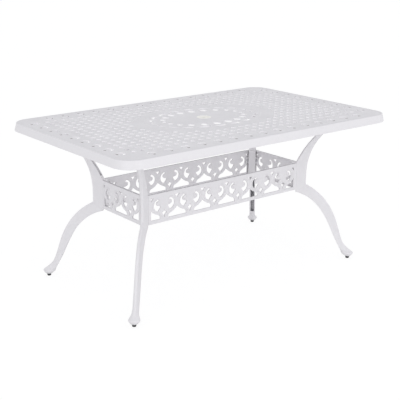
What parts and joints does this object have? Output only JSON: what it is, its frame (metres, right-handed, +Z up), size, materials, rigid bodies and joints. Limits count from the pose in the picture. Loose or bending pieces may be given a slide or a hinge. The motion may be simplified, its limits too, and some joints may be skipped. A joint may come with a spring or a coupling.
{
  "type": "umbrella table",
  "caption": "Rectangular cast aluminium garden table with a lattice top, a parasol hole, curved splayed legs joined by fretwork apron panels, and levelling glides.",
  "frame": {"origin": "on the floor under the middle of the top", "axes": "+X along the length, +Y across towards the back, +Z up"},
  "size_m": [1.5, 0.92, 0.725],
  "materials": {
    "cast_white": "white powder coat on cast aluminium",
    "white_nylon": "moulded white nylon",
    "black_nylon": "moulded black nylon",
    "zinc_steel": "zinc plated steel"
  },
  "bodies": {
    "frame": {"table_top": "cast_white", "top_rim": "cast_white", "parasol_liner": "white_nylon", "top_bolts": "zinc_steel", "panel_bolts": "zinc_steel", "front_panel": "cast_white", "back_panel": "cast_white", "left_panel": "cast_white", "right_panel": "cast_white", "leg_front_left": "cast_white", "leg_front_right": "cast_white", "leg_back_left": "cast_white", "leg_back_right": "cast_white"},
    "foot_front_left": {"glide_pad_front_left": "black_nylon"},
    "screw_front_left": {"glide_stud_front_left": "zinc_steel"},
    "foot_front_right": {"glide_pad_front_right": "black_nylon"},
    "screw_front_right": {"glide_stud_front_right": "zinc_steel"},
    "foot_back_left": {"glide_pad_back_left": "black_nylon"},
    "screw_back_left": {"glide_stud_back_left": "zinc_steel"},
    "foot_back_right": {"glide_pad_back_right": "black_nylon"},
    "screw_back_right": {"glide_stud_back_right": "zinc_steel"}
  },
  "joints": [
    {"name": "glide_travel_front_left", "type": "slide", "parent": "frame", "child": "foot_front_left", "axis": [0, 0, -1], "range_m": [0, 0.01]},
    {"name": "glide_turn_front_left", "type": "hinge", "parent": "foot_front_left", "child": "screw_front_left", "pos_m": [-0.63699, -0.34329, 0.0165], "axis": [0, 0, -1], "range_deg": [0, 2880]},
    {"name": "glide_travel_front_right", "type": "slide", "parent": "frame", "child": "foot_front_right", "axis": [0, 0, -1], "range_m": [0, 0.01]},
    {"name": "glide_turn_front_right", "type": "hinge", "parent": "foot_front_right", "child": "screw_front_right", "pos_m": [0.63699, -0.34329, 0.0165], "axis": [0, 0, -1], "range_deg": [0, 2880]},
    {"name": "glide_travel_back_left", "type": "slide", "parent": "frame", "child": "foot_back_left", "axis": [0, 0, -1], "range_m": [0, 0.01]},
    {"name": "glide_turn_back_left", "type": "hinge", "parent": "foot_back_left", "child": "screw_back_left", "pos_m": [-0.63699, 0.34329, 0.0165], "axis": [0, 0, -1], "range_deg": [0, 2880]},
    {"name": "glide_travel_back_right", "type": "slide", "parent": "frame", "child": "foot_back_right", "axis": [0, 0, -1], "range_m": [0, 0.01]},
    {"name": "glide_turn_back_right", "type": "hinge", "parent": "foot_back_right", "child": "screw_back_right", "pos_m": [0.63699, 0.34329, 0.0165], "axis": [0, 0, -1], "range_deg": [0, 2880]}
  ],
  "couplings": [
    {"joint": "glide_travel_front_left", "follows": "glide_turn_front_left", "m_per_rad": 0.00019894},
    {"joint": "glide_travel_front_right", "follows": "glide_turn_front_right", "m_per_rad": 0.00019894},
    {"joint": "glide_travel_back_left", "follows": "glide_turn_back_left", "m_per_rad": 0.00019894},
    {"joint": "glide_travel_back_right", "follows": "glide_turn_back_right", "m_per_rad": 0.00019894}
  ]
}
